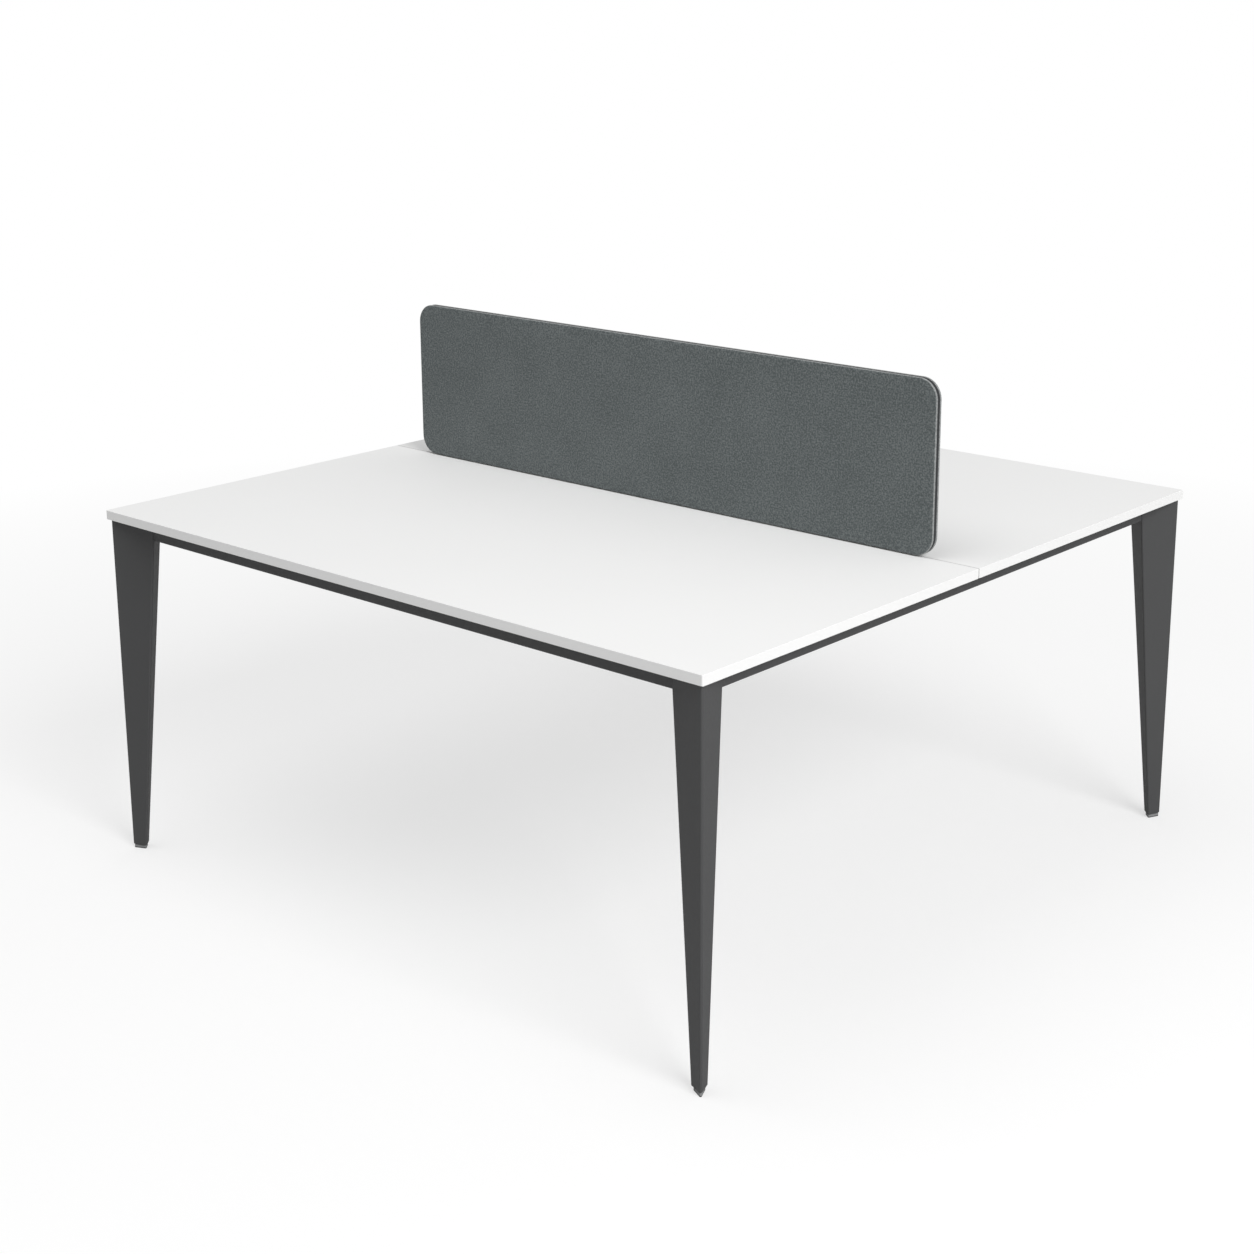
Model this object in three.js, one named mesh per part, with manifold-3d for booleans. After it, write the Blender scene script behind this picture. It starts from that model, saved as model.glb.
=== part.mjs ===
// A benching desk for two. Two worktops meet on a seam over a centre beam, a low fabric
// screen stands on that seam, and a square-tube frame joins four folded three-sided legs.
// Millimetres, +Z up, +Y to the rear, origin on the floor under the middle of the desk.

import * as THREE from 'three';
import { mergeVertices } from 'three/addons/utils/BufferGeometryUtils.js';
import Module from 'manifold-3d';

const wasm = await Module();
wasm.setup();

// Overall sizes of the desk
const DESK_LENGTH = 1600;
const DESK_DEPTH = 1600;
const DESK_HEIGHT = 746;
// Clearance left between two pieces that seat on each other
const FIT_GAP = 0.3;

// Worktops: a board with an edge band all round
const TOP_THICKNESS = 19;
const TOP_CORNER_RADIUS = 3;
const SEAM_WIDTH = 1;
const BAND_THICKNESS = 2;
const BAND_EDGE_RADIUS = 1;

// Legs: sheet folded to an equal-sided triangle that tapers to the foot, its outer edge upright
const LEG_OVERHANG = 4;
const LEG_TOP_SIDE = 102;
const LEG_FOOT_SIDE = 33;
const LEG_WALL = 2.5;
const LEG_BEND_RADIUS = 3.5;
const HEAD_PLATE_THICKNESS = 4;
const HEAD_PLATE_HOLE = 16;
const END_BLOCK_HEIGHT = 18;

// Rails: square tube flush with the inner edges of the legs, slipped over welded stubs
const RAIL_WIDTH = 30;
const RAIL_HEIGHT = 30;
const RAIL_WALL = 2;
const RAIL_EDGE_RADIUS = 3;
const STUB_LENGTH = 80;
const STUB_WALL = 2.5;
const STUB_SCREW_HOLE = 6.5;
const STUB_SCREW_DISTANCE = 42;

// Centre beam under the seam, bolted between the side rails
const BEAM_WIDTH = 60;
const BEAM_HEIGHT = 30;
const BEAM_WALL = 2;
const BEAM_EDGE_RADIUS = 3;
const BEAM_PLATE_LENGTH = 116;
const BEAM_PLATE_THICKNESS = 5;
const BEAM_PLATE_RADIUS = 4;
const BEAM_BOLT_HOLE = 6.6;
const BEAM_BOLT_SPACING = 92;

// Angle clips that hold the worktops down on the frame
const CLIP_LENGTH = 54;
const CLIP_FLANGE = 22;
const CLIP_THICKNESS = 2.5;
const CLIP_BEND_RADIUS = 4;
const CLIP_SCREW_HOLE = 5.5;
const CLIP_SCREW_SPACING = 28;
const CLIP_RAIL_SPACING = 800;
const CLIP_BEAM_SPACING = 560;

// Levelling feet
const FOOT_DIAMETER = 24;
const FOOT_TOP_DIAMETER = 19;
const FOOT_HEIGHT = 8.7;
const FOOT_RIM_HEIGHT = 5;
const FOOT_BEVEL = 0.8;
const FOOT_SOCKET_DEPTH = 5;
const STEM_DIAMETER = 8;
const STEM_LENGTH = 42;
const STEM_CHAMFER = 1;

// Screen: a board edged with a strip and padded on both faces
const SCREEN_LENGTH = 1400;
const SCREEN_HEIGHT = 342;
const SCREEN_CORNER_RADIUS = 40;
const SCREEN_LIFT = 2.5;
const CORE_THICKNESS = 12;
const TRIM_THICKNESS = 2;
const PAD_THICKNESS = 4;
const PAD_INSET = 1.5;
const PAD_EDGE_RADIUS = 2.5;
const PAD_CROWN = 0.8;
const PAD_CROWN_WIDTH = 30;

// Flat straps that stand in the beam and carry the screen through the seam
const STRAP_WIDTH = 50;
const STRAP_THICKNESS = 3;
const STRAP_CORNER_RADIUS = 5;
const STRAP_SPACING = 900;
const STRAP_GRIP = 110;

// Steps along a rounded corner, along an eased edge, round a hole and round a turned piece
const ARC_STEPS = 5;
const EASE_STEPS = 2;
const HOLE_STEPS = 16;
const TURNED_STEPS = 32;
// Smallest radius left on an inside corner
const LEAST_RADIUS = 0.4;
// Extra reach of a cutter past the faces that it cuts
const CUT_REACH = 2;

// Levels and lines that several pieces share
const QUARTER_TURN = Math.PI / 2;
const ROOT_THREE = Math.sqrt(3);
const TOP_UNDERSIDE = DESK_HEIGHT - TOP_THICKNESS;
const FRAME_TOP = TOP_UNDERSIDE - FIT_GAP;
const LEG_BOTTOM = FOOT_HEIGHT + FIT_GAP;
const LEG_DIAGONAL = QUARTER_TURN / 2;
const LEG_SIDE_COUNT = 3;
const LEG_CORNER_SWEEP = (2 * Math.PI) / LEG_SIDE_COUNT;
const LEG_FACE_TURN = LEG_DIAGONAL - (Math.PI - LEG_CORNER_SWEEP) / 2;
const LEG_EDGE_ALONG = LEG_TOP_SIDE * Math.cos(LEG_FACE_TURN);
const LEG_EDGE_INWARD = LEG_TOP_SIDE * Math.sin(LEG_FACE_TURN);
const RAIL_SETBACK = LEG_OVERHANG + LEG_EDGE_INWARD;
const RAIL_CENTRE_LINE = RAIL_SETBACK + RAIL_WIDTH / 2;
const RAIL_INNER_LINE = RAIL_SETBACK + RAIL_WIDTH;
const RAIL_MIDDLE_HEIGHT = FRAME_TOP - RAIL_HEIGHT / 2;
const BEAM_MIDDLE_HEIGHT = FRAME_TOP - BEAM_HEIGHT / 2;
const SCREEN_BOTTOM = DESK_HEIGHT + SCREEN_LIFT;
const STRAP_BOTTOM = FRAME_TOP - BEAM_HEIGHT + BEAM_WALL + FIT_GAP;
const STRAP_TOP = SCREEN_BOTTOM + TRIM_THICKNESS + FIT_GAP + STRAP_GRIP;
const STRAP_PLACES = [-STRAP_SPACING / 2, STRAP_SPACING / 2];

// Axes for a section that is drawn in X and Y and drawn out along Z
const X = new THREE.Vector3(1, 0, 0);
const Y = new THREE.Vector3(0, 1, 0);
const Z = new THREE.Vector3(0, 0, 1);
const ALONG_X = new THREE.Matrix4().makeBasis(Y, Z, X);
const ALONG_Y = new THREE.Matrix4().makeBasis(X.clone().negate(), Z, Y);
const ACROSS_Y = new THREE.Matrix4().makeBasis(X, Z, Y.clone().negate());

// Finishes
function finish(color, roughness, metalness) {
  return new THREE.MeshStandardMaterial({ color, roughness, metalness });
}
const laminate = () => finish(0xf3f3f1, 0.45, 0);
const edgeBand = () => finish(0xf1f1ef, 0.5, 0);
const paintedSteel = () => finish(0x4b4c4e, 0.55, 0.2);
const zincSteel = () => finish(0xb4b7ba, 0.35, 0.9);
const footPlastic = () => finish(0x5c5d5f, 0.6, 0);
const screenFabric = () => finish(0x5f6868, 0.95, 0);
const screenTrim = () => finish(0x303334, 0.6, 0);
const fibreBoard = () => finish(0xb59a78, 0.9, 0);

// Solids for cuts, and back to drawn geometry
function solidOf(geometry) {
  const bare = geometry.clone();
  bare.deleteAttribute('normal');
  bare.deleteAttribute('uv');
  const merged = mergeVertices(bare);
  const vertProperties = new Float32Array(merged.attributes.position.array);
  const triVerts = new Uint32Array(merged.index.array);
  return new wasm.Manifold(new wasm.Mesh({ numProp: 3, vertProperties, triVerts }));
}

function indexedGeometry(positions, index) {
  const geometry = new THREE.BufferGeometry();
  geometry.setAttribute('position', new THREE.BufferAttribute(positions, 3));
  geometry.setIndex(new THREE.BufferAttribute(index, 1));
  const faceted = geometry.toNonIndexed();
  faceted.computeVertexNormals();
  return faceted;
}

function cutAway(geometry, cutters) {
  let solid = solidOf(geometry);
  for (const cutter of cutters) {
    solid = solid.subtract(solidOf(cutter));
  }
  const left = solid.getMesh();
  return indexedGeometry(left.vertProperties, left.triVerts);
}

// Rings of points with rounded corners; a corner is its arc's centre, first angle and sweep
function ringOf(corners, radius, z) {
  const ring = [];
  for (const corner of corners) {
    for (let step = 0; step <= ARC_STEPS; step++) {
      const angle = corner.start + (corner.sweep * step) / ARC_STEPS;
      const x = corner.x + radius * Math.cos(angle);
      const y = corner.y + radius * Math.sin(angle);
      ring.push(new THREE.Vector3(x, y, z));
    }
  }
  return ring;
}

function rectangleRing(width, height, radius, z) {
  const x = width / 2 - radius;
  const y = height / 2 - radius;
  const places = [[x, -y], [x, y], [-x, y], [-x, -y]];
  const corners = places.map(([placeX, placeY], turn) => {
    const start = (turn - 1) * QUARTER_TURN;
    return { x: placeX, y: placeY, start, sweep: QUARTER_TURN };
  });
  return ringOf(corners, radius, z);
}

function flatPoints(ring) {
  return ring.map((point) => new THREE.Vector2(point.x, point.y));
}

function rectangle(width, height, radius) {
  return flatPoints(rectangleRing(width, height, radius, 0));
}

function circle(diameter, x, y) {
  const arc = new THREE.EllipseCurve(x, y, diameter / 2, diameter / 2);
  return arc.getPoints(HOLE_STEPS).slice(0, HOLE_STEPS);
}

// A section drawn out along Z, its middle on the origin
function extruded(outline, depth, holes = []) {
  const shape = new THREE.Shape(outline);
  shape.holes = holes.map((hole) => new THREE.Path(hole));
  const geometry = new THREE.ExtrudeGeometry(shape, { depth, bevelEnabled: false });
  return geometry.translate(0, 0, -depth / 2);
}

// A closed skin through rings of equal count, from the lowest to the highest
function lofted(rings) {
  const count = rings[0].length;
  const positions = rings.flat().flatMap((point) => point.toArray());
  const index = [];
  for (let level = 0; level + 1 < rings.length; level++) {
    for (let i = 0; i < count; i++) {
      const a = level * count + i;
      const b = level * count + ((i + 1) % count);
      index.push(a, b, b + count);
      index.push(a, b + count, a + count);
    }
  }
  const top = (rings.length - 1) * count;
  for (const [a, b, c] of THREE.ShapeUtils.triangulateShape(flatPoints(rings[0]), [])) {
    index.push(a, c, b);
  }
  for (const [a, b, c] of THREE.ShapeUtils.triangulateShape(flatPoints(rings.at(-1)), [])) {
    index.push(top + a, top + b, top + c);
  }
  return indexedGeometry(new Float32Array(positions), new Uint32Array(index));
}

function boxTube(width, height, wall, radius, length) {
  const innerRadius = Math.max(radius - wall, LEAST_RADIUS);
  const outer = rectangle(width, height, radius);
  const inner = rectangle(width - 2 * wall, height - 2 * wall, innerRadius);
  return extruded(outer, length, [inner]);
}

// A round cutter that stands along Y
function roundCutter(diameter, length) {
  return new THREE.CylinderGeometry(diameter / 2, diameter / 2, length, HOLE_STEPS);
}

function turned(profile) {
  const points = profile.map(([radius, z]) => new THREE.Vector2(radius, z));
  return new THREE.LatheGeometry(points, TURNED_STEPS).rotateX(QUARTER_TURN);
}

// Adds one named piece to its group
function place(group, name, geometry, material, x = 0, y = 0, z = 0) {
  const mesh = new THREE.Mesh(geometry, material);
  mesh.name = name;
  mesh.position.set(x, y, z);
  group.add(mesh);
  return mesh;
}

// Leg section. The upright outer edge is the local Z axis, and the leg opens along +X and +Y.
function legSide(z) {
  const share = (z - LEG_BOTTOM) / (FRAME_TOP - LEG_BOTTOM);
  return LEG_FOOT_SIDE + (LEG_TOP_SIDE - LEG_FOOT_SIDE) * share;
}

// Distance from the outer edge to the section's middle, along X as along Y
function legMiddle(z) {
  return (legSide(z) / ROOT_THREE) * Math.cos(LEG_DIAGONAL);
}

// The leg's outline at a height, grown outward by an offset or drawn in by a negative one
function legRing(z, offset) {
  const radius = Math.max(LEG_BEND_RADIUS + offset, LEAST_RADIUS);
  const toArc = legSide(z) / ROOT_THREE + 2 * offset - 2 * radius;
  const corners = [];
  for (let corner = 0; corner < LEG_SIDE_COUNT; corner++) {
    const facing = Math.PI + LEG_DIAGONAL + corner * LEG_CORNER_SWEEP;
    const x = legMiddle(z) + toArc * Math.cos(facing);
    const y = legMiddle(z) + toArc * Math.sin(facing);
    corners.push({ x, y, start: facing - LEG_CORNER_SWEEP / 2, sweep: LEG_CORNER_SWEEP });
  }
  return ringOf(corners, radius, z);
}

function legSolid(low, high, offset) {
  return lofted([legRing(low, offset), legRing(high, offset)]);
}

function legShell() {
  const outside = legSolid(LEG_BOTTOM, FRAME_TOP, 0);
  const inside = legSolid(LEG_BOTTOM - CUT_REACH, FRAME_TOP + CUT_REACH, -LEG_WALL);
  return cutAway(outside, [inside]);
}

// The space that a leg takes with its clearance, for cutting what butts against it
function legEnvelope() {
  return legSolid(LEG_BOTTOM - CUT_REACH, FRAME_TOP + CUT_REACH, FIT_GAP);
}

// How far from the outer edge a rail or stub starts, so that its whole end lies in the envelope
function railStart() {
  const narrowing = LEG_TOP_SIDE - legSide(FRAME_TOP - RAIL_HEIGHT);
  const faceShift = narrowing * (Math.cos(LEG_FACE_TURN) + Math.sin(LEG_FACE_TURN));
  return LEG_EDGE_ALONG - RAIL_WIDTH - faceShift - CUT_REACH;
}

// A slice that fills the leg's hollow between two heights, with a hole down its middle
function legFilling(low, high, hole, middle) {
  const block = legSolid(low, high, -LEG_WALL - FIT_GAP);
  const bore = roundCutter(hole, high - low + 2 * CUT_REACH).rotateX(QUARTER_TURN);
  bore.translate(middle, middle, (low + high) / 2);
  return cutAway(block, [bore]);
}

// A welded stub that leaves the leg's inner face along X, or along Y for the next rail
function railStub(axes, side) {
  const width = RAIL_WIDTH - 2 * RAIL_WALL - 2 * FIT_GAP;
  const height = RAIL_HEIGHT - 2 * RAIL_WALL - 2 * FIT_GAP;
  const across = side * (LEG_EDGE_INWARD + RAIL_WIDTH / 2);
  const end = LEG_EDGE_ALONG + STUB_LENGTH;
  const bar = boxTube(width, height, STUB_WALL, RAIL_EDGE_RADIUS, end - railStart());
  bar.translate(across, RAIL_MIDDLE_HEIGHT, (end + railStart()) / 2).applyMatrix4(axes);
  const screw = roundCutter(STUB_SCREW_HOLE, height);
  screw.translate(across, RAIL_MIDDLE_HEIGHT - height / 2, LEG_EDGE_ALONG + STUB_SCREW_DISTANCE);
  return cutAway(bar, [legEnvelope(), screw.applyMatrix4(axes)]);
}

function footPad() {
  const rim = FOOT_DIAMETER / 2;
  const socket = STEM_DIAMETER / 2 + FIT_GAP;
  const socketFloor = FOOT_HEIGHT - FOOT_SOCKET_DEPTH;
  return turned([
    [0, 0],
    [rim - FOOT_BEVEL, 0],
    [rim, FOOT_BEVEL],
    [rim, FOOT_RIM_HEIGHT],
    [FOOT_TOP_DIAMETER / 2, FOOT_HEIGHT],
    [socket, FOOT_HEIGHT],
    [socket, socketFloor],
    [0, socketFloor],
  ]);
}

function footStem() {
  const low = FOOT_HEIGHT - FOOT_SOCKET_DEPTH + FIT_GAP;
  const high = low + STEM_LENGTH;
  const radius = STEM_DIAMETER / 2;
  return turned([
    [0, low],
    [radius, low],
    [radius, high - STEM_CHAMFER],
    [radius - STEM_CHAMFER, high],
    [0, high],
  ]);
}

// One leg with its plates, stubs and levelling foot
function legAssembly(corner, ownRail, nextRail) {
  const leg = new THREE.Group();
  const footMiddle = legMiddle(LEG_BOTTOM);
  const plateLow = FRAME_TOP - HEAD_PLATE_THICKNESS;
  const blockHigh = LEG_BOTTOM + END_BLOCK_HEIGHT;
  const bore = STEM_DIAMETER + 2 * FIT_GAP;
  const headPlate = legFilling(plateLow, FRAME_TOP, HEAD_PLATE_HOLE, legMiddle(FRAME_TOP));
  const endBlock = legFilling(LEG_BOTTOM, blockHigh, bore, footMiddle);
  place(leg, `${corner}_leg`, legShell(), paintedSteel());
  place(leg, `${corner}_leg_head_plate`, headPlate, paintedSteel());
  place(leg, `${corner}_leg_end_block`, endBlock, zincSteel());
  place(leg, `${corner}_stub_for_${ownRail}`, railStub(ALONG_X, 1), paintedSteel());
  place(leg, `${corner}_stub_for_${nextRail}`, railStub(ALONG_Y, -1), paintedSteel());
  place(leg, `${corner}_foot_pad`, footPad(), footPlastic(), footMiddle, footMiddle);
  place(leg, `${corner}_foot_stem`, footStem(), zincSteel(), footMiddle, footMiddle);
  return leg;
}

// A rail between two legs, mitred on their inner faces, centred on its own middle
function railTube(span, beamBolts) {
  const legX = span / 2 - LEG_OVERHANG;
  const legY = LEG_OVERHANG - RAIL_CENTRE_LINE;
  const length = 2 * (legX - railStart());
  const tube = boxTube(RAIL_WIDTH, RAIL_HEIGHT, RAIL_WALL, RAIL_EDGE_RADIUS, length);
  const leftLeg = legEnvelope();
  const rightLeg = legEnvelope().rotateZ(QUARTER_TURN);
  leftLeg.translate(-legX, legY, -RAIL_MIDDLE_HEIGHT);
  rightLeg.translate(legX, legY, -RAIL_MIDDLE_HEIGHT);
  const cutters = [leftLeg, rightLeg];
  const screwX = legX - LEG_EDGE_ALONG - STUB_SCREW_DISTANCE;
  for (const x of [-screwX, screwX]) {
    const screw = roundCutter(STUB_SCREW_HOLE, RAIL_HEIGHT).rotateX(QUARTER_TURN);
    cutters.push(screw.translate(x, 0, -RAIL_HEIGHT / 2));
  }
  for (const x of beamBolts) {
    const bolt = roundCutter(BEAM_BOLT_HOLE, RAIL_WIDTH);
    cutters.push(bolt.translate(x, RAIL_WIDTH / 2, BEAM_MIDDLE_HEIGHT - RAIL_MIDDLE_HEIGHT));
  }
  return cutAway(tube.applyMatrix4(ALONG_X), cutters);
}

// An angle clip: origin at the inner top corner of the tube that carries it, +Y away from it
function angleClip() {
  const back = FIT_GAP;
  const reach = back + CLIP_FLANGE;
  const bend = CLIP_BEND_RADIUS;
  const fillet = Math.max(bend - CLIP_THICKNESS, LEAST_RADIUS);
  const filletY = back + CLIP_THICKNESS + fillet;
  const filletZ = -CLIP_THICKNESS - fillet;
  const profile = new THREE.Shape();
  profile.moveTo(back, -CLIP_FLANGE);
  profile.lineTo(back + CLIP_THICKNESS, -CLIP_FLANGE);
  profile.absarc(filletY, filletZ, fillet, Math.PI, QUARTER_TURN, true);
  profile.lineTo(reach, -CLIP_THICKNESS);
  profile.lineTo(reach, 0);
  profile.absarc(back + bend, -bend, bend, QUARTER_TURN, Math.PI, false);
  profile.closePath();
  const angle = extruded(profile.getPoints(ARC_STEPS), CLIP_LENGTH).applyMatrix4(ALONG_X);
  const holeY = (filletY + reach) / 2;
  const holes = [];
  for (const x of [-CLIP_SCREW_SPACING / 2, CLIP_SCREW_SPACING / 2]) {
    const hole = roundCutter(CLIP_SCREW_HOLE, CLIP_FLANGE).rotateX(QUARTER_TURN);
    holes.push(hole.translate(x, holeY, 0));
  }
  return cutAway(angle, holes);
}

// One side of the frame: the leg at its left-hand end, its rail and the clips on the rail
function frameSide(side, corner, nextRail, turn, size) {
  const group = new THREE.Group();
  group.rotation.z = turn * QUARTER_TURN;
  const rail = `${side}_rail`;
  const leg = legAssembly(corner, rail, nextRail);
  leg.position.set(LEG_OVERHANG - size.span / 2, LEG_OVERHANG - size.offset, 0);
  group.add(leg);
  const railY = RAIL_CENTRE_LINE - size.offset;
  const clipY = RAIL_INNER_LINE - size.offset;
  const tube = railTube(size.span, size.beamBolts);
  place(group, rail, tube, paintedSteel(), 0, railY, RAIL_MIDDLE_HEIGHT);
  [-CLIP_RAIL_SPACING / 2, CLIP_RAIL_SPACING / 2].forEach((x, i) => {
    place(group, `${rail}_clip_${i + 1}`, angleClip(), zincSteel(), x, clipY, FRAME_TOP);
  });
  return group;
}

// The steel frame, side by side round the desk
function frame() {
  const group = new THREE.Group();
  const bolts = [-BEAM_BOLT_SPACING / 2, BEAM_BOLT_SPACING / 2];
  const long = { span: DESK_LENGTH, offset: DESK_DEPTH / 2, beamBolts: [] };
  const short = { span: DESK_DEPTH, offset: DESK_LENGTH / 2, beamBolts: bolts };
  group.add(frameSide('front', 'front_left', 'left_rail', 0, long));
  group.add(frameSide('right', 'front_right', 'front_rail', 1, short));
  group.add(frameSide('rear', 'rear_right', 'right_rail', 2, long));
  group.add(frameSide('left', 'rear_left', 'rear_rail', 3, short));
  return group;
}

// The slot that a strap passes through, centred on the strap
function strapSlot(height) {
  const width = STRAP_WIDTH + 2 * FIT_GAP;
  return new THREE.BoxGeometry(width, STRAP_THICKNESS + 2 * FIT_GAP, height);
}

// The centre beam with its end plates and clips
function centreBeam() {
  const group = new THREE.Group();
  const plateOuter = DESK_LENGTH / 2 - RAIL_INNER_LINE - FIT_GAP;
  const length = 2 * (plateOuter - BEAM_PLATE_THICKNESS - FIT_GAP);
  const tube = boxTube(BEAM_WIDTH, BEAM_HEIGHT, BEAM_WALL, BEAM_EDGE_RADIUS, length);
  const slots = STRAP_PLACES.map((x) => strapSlot(BEAM_HEIGHT).translate(x, 0, BEAM_HEIGHT / 2));
  const beam = cutAway(tube.applyMatrix4(ALONG_X), slots);
  place(group, 'centre_beam', beam, paintedSteel(), 0, 0, BEAM_MIDDLE_HEIGHT);
  const outline = rectangle(BEAM_PLATE_LENGTH, BEAM_HEIGHT, BEAM_PLATE_RADIUS);
  const holes = [-1, 1].map((sign) => circle(BEAM_BOLT_HOLE, (sign * BEAM_BOLT_SPACING) / 2, 0));
  for (const [name, sign] of [['left', -1], ['right', 1]]) {
    const plate = extruded(outline, BEAM_PLATE_THICKNESS, holes).applyMatrix4(ALONG_X);
    const x = sign * (plateOuter - BEAM_PLATE_THICKNESS / 2);
    place(group, `centre_beam_${name}_end_plate`, plate, paintedSteel(), x, 0, BEAM_MIDDLE_HEIGHT);
  }
  for (const [name, turn] of [['rear', 0], ['front', 2]]) {
    const row = new THREE.Group();
    row.rotation.z = turn * QUARTER_TURN;
    [-CLIP_BEAM_SPACING / 2, CLIP_BEAM_SPACING / 2].forEach((x, i) => {
      const clip = `centre_beam_${name}_clip_${i + 1}`;
      place(row, clip, angleClip(), zincSteel(), x, BEAM_WIDTH / 2, FRAME_TOP);
    });
    group.add(row);
  }
  return group;
}

// A worktop: its board and the band round its edge, notched where the straps pass
function worktop(name, sign) {
  const group = new THREE.Group();
  const depth = (DESK_DEPTH - SEAM_WIDTH) / 2;
  const middleY = (sign * (depth + SEAM_WIDTH)) / 2;
  group.position.set(0, middleY, TOP_UNDERSIDE + TOP_THICKNESS / 2);
  const inset = BAND_THICKNESS + FIT_GAP;
  const boardRadius = Math.max(TOP_CORNER_RADIUS - inset, LEAST_RADIUS);
  const holeRadius = Math.max(TOP_CORNER_RADIUS - BAND_THICKNESS, LEAST_RADIUS);
  const board = rectangle(DESK_LENGTH - 2 * inset, depth - 2 * inset, boardRadius);
  const hole = rectangle(DESK_LENGTH - 2 * BAND_THICKNESS, depth - 2 * BAND_THICKNESS, holeRadius);
  const through = TOP_THICKNESS + 2 * CUT_REACH;
  const notches = STRAP_PLACES.map((x) => strapSlot(through).translate(x, -middleY, 0));
  const band = cutAway(easedSlab(depth), [extruded(hole, through), ...notches]);
  place(group, `${name}_worktop`, extruded(board, TOP_THICKNESS), laminate());
  place(group, `${name}_worktop_edge_band`, band, edgeBand());
  return group;
}

// The outside of a worktop with its long edges eased
function easedSlab(depth) {
  const rings = [];
  for (const half of [-1, 1]) {
    for (let step = 0; step <= EASE_STEPS; step++) {
      const share = half < 0 ? step : EASE_STEPS - step;
      const angle = (QUARTER_TURN * share) / EASE_STEPS;
      const inset = BAND_EDGE_RADIUS * (1 - Math.sin(angle));
      const z = half * (TOP_THICKNESS / 2 - BAND_EDGE_RADIUS * (1 - Math.cos(angle)));
      const radius = TOP_CORNER_RADIUS - inset;
      rings.push(rectangleRing(DESK_LENGTH - 2 * inset, depth - 2 * inset, radius, z));
    }
  }
  return lofted(rings);
}

// A face pad of the screen: upright edge, rounded shoulder and a slight crown
function facePad() {
  const length = SCREEN_LENGTH - 2 * PAD_INSET;
  const height = SCREEN_HEIGHT - 2 * PAD_INSET;
  const radius = SCREEN_CORNER_RADIUS - PAD_INSET;
  const shoulder = PAD_THICKNESS - PAD_CROWN;
  const edge = Math.min(PAD_EDGE_RADIUS, shoulder - LEAST_RADIUS);
  const crown = Math.min(PAD_CROWN_WIDTH, radius - LEAST_RADIUS) - edge;
  const rings = [rectangleRing(length, height, radius, 0)];
  const addRing = (inset, z) => {
    rings.push(rectangleRing(length - 2 * inset, height - 2 * inset, radius - inset, z));
  };
  for (let step = 0; step <= ARC_STEPS; step++) {
    const angle = (QUARTER_TURN * step) / ARC_STEPS;
    addRing(edge * (1 - Math.cos(angle)), shoulder - edge * (1 - Math.sin(angle)));
  }
  for (let step = 1; step <= ARC_STEPS; step++) {
    const angle = (QUARTER_TURN * step) / ARC_STEPS;
    addRing(edge + crown * (1 - Math.cos(angle)), shoulder + PAD_CROWN * Math.sin(angle));
  }
  return lofted(rings).applyMatrix4(ACROSS_Y);
}

// The screen with its straps
function screen() {
  const group = new THREE.Group();
  group.position.z = SCREEN_BOTTOM + SCREEN_HEIGHT / 2;
  const ring = (inset) => {
    const radius = SCREEN_CORNER_RADIUS - inset;
    return rectangle(SCREEN_LENGTH - 2 * inset, SCREEN_HEIGHT - 2 * inset, radius);
  };
  const core = extruded(ring(TRIM_THICKNESS + FIT_GAP), CORE_THICKNESS).applyMatrix4(ACROSS_Y);
  const trim = extruded(ring(0), CORE_THICKNESS, [ring(TRIM_THICKNESS)]).applyMatrix4(ACROSS_Y);
  const slotTop = STRAP_TOP + FIT_GAP - group.position.z;
  const slotHeight = STRAP_GRIP + TRIM_THICKNESS + 2 * FIT_GAP + CUT_REACH;
  const slotMiddle = slotTop - slotHeight / 2;
  const slots = STRAP_PLACES.map((x) => strapSlot(slotHeight).translate(x, 0, slotMiddle));
  place(group, 'screen_core', cutAway(core, slots), fibreBoard());
  place(group, 'screen_edge_trim', cutAway(trim, slots), screenTrim());
  const faceY = CORE_THICKNESS / 2 + FIT_GAP;
  place(group, 'screen_front_pad', facePad(), screenFabric(), 0, -faceY);
  place(group, 'screen_rear_pad', facePad(), screenFabric(), 0, faceY).rotation.z = Math.PI;
  const strapHeight = STRAP_TOP - STRAP_BOTTOM;
  const strapMiddle = (STRAP_TOP + STRAP_BOTTOM) / 2 - group.position.z;
  STRAP_PLACES.forEach((x, i) => {
    const outline = rectangle(STRAP_WIDTH, strapHeight, STRAP_CORNER_RADIUS);
    const strap = extruded(outline, STRAP_THICKNESS).applyMatrix4(ACROSS_Y);
    place(group, `screen_strap_${i + 1}`, strap, zincSteel(), x, 0, strapMiddle);
  });
  return group;
}

const desk = new THREE.Group();
desk.add(frame());
desk.add(centreBeam());
desk.add(worktop('front', -1));
desk.add(worktop('rear', 1));
desk.add(screen());

export default desk;
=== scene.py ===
"""Benching desk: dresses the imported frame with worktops, folded legs, levelling feet and a fabric screen."""

import math

import bmesh
import bpy
from bpy.props import FloatProperty, FloatVectorProperty, IntProperty, PointerProperty
from mathutils import Matrix, Vector, noise


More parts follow.
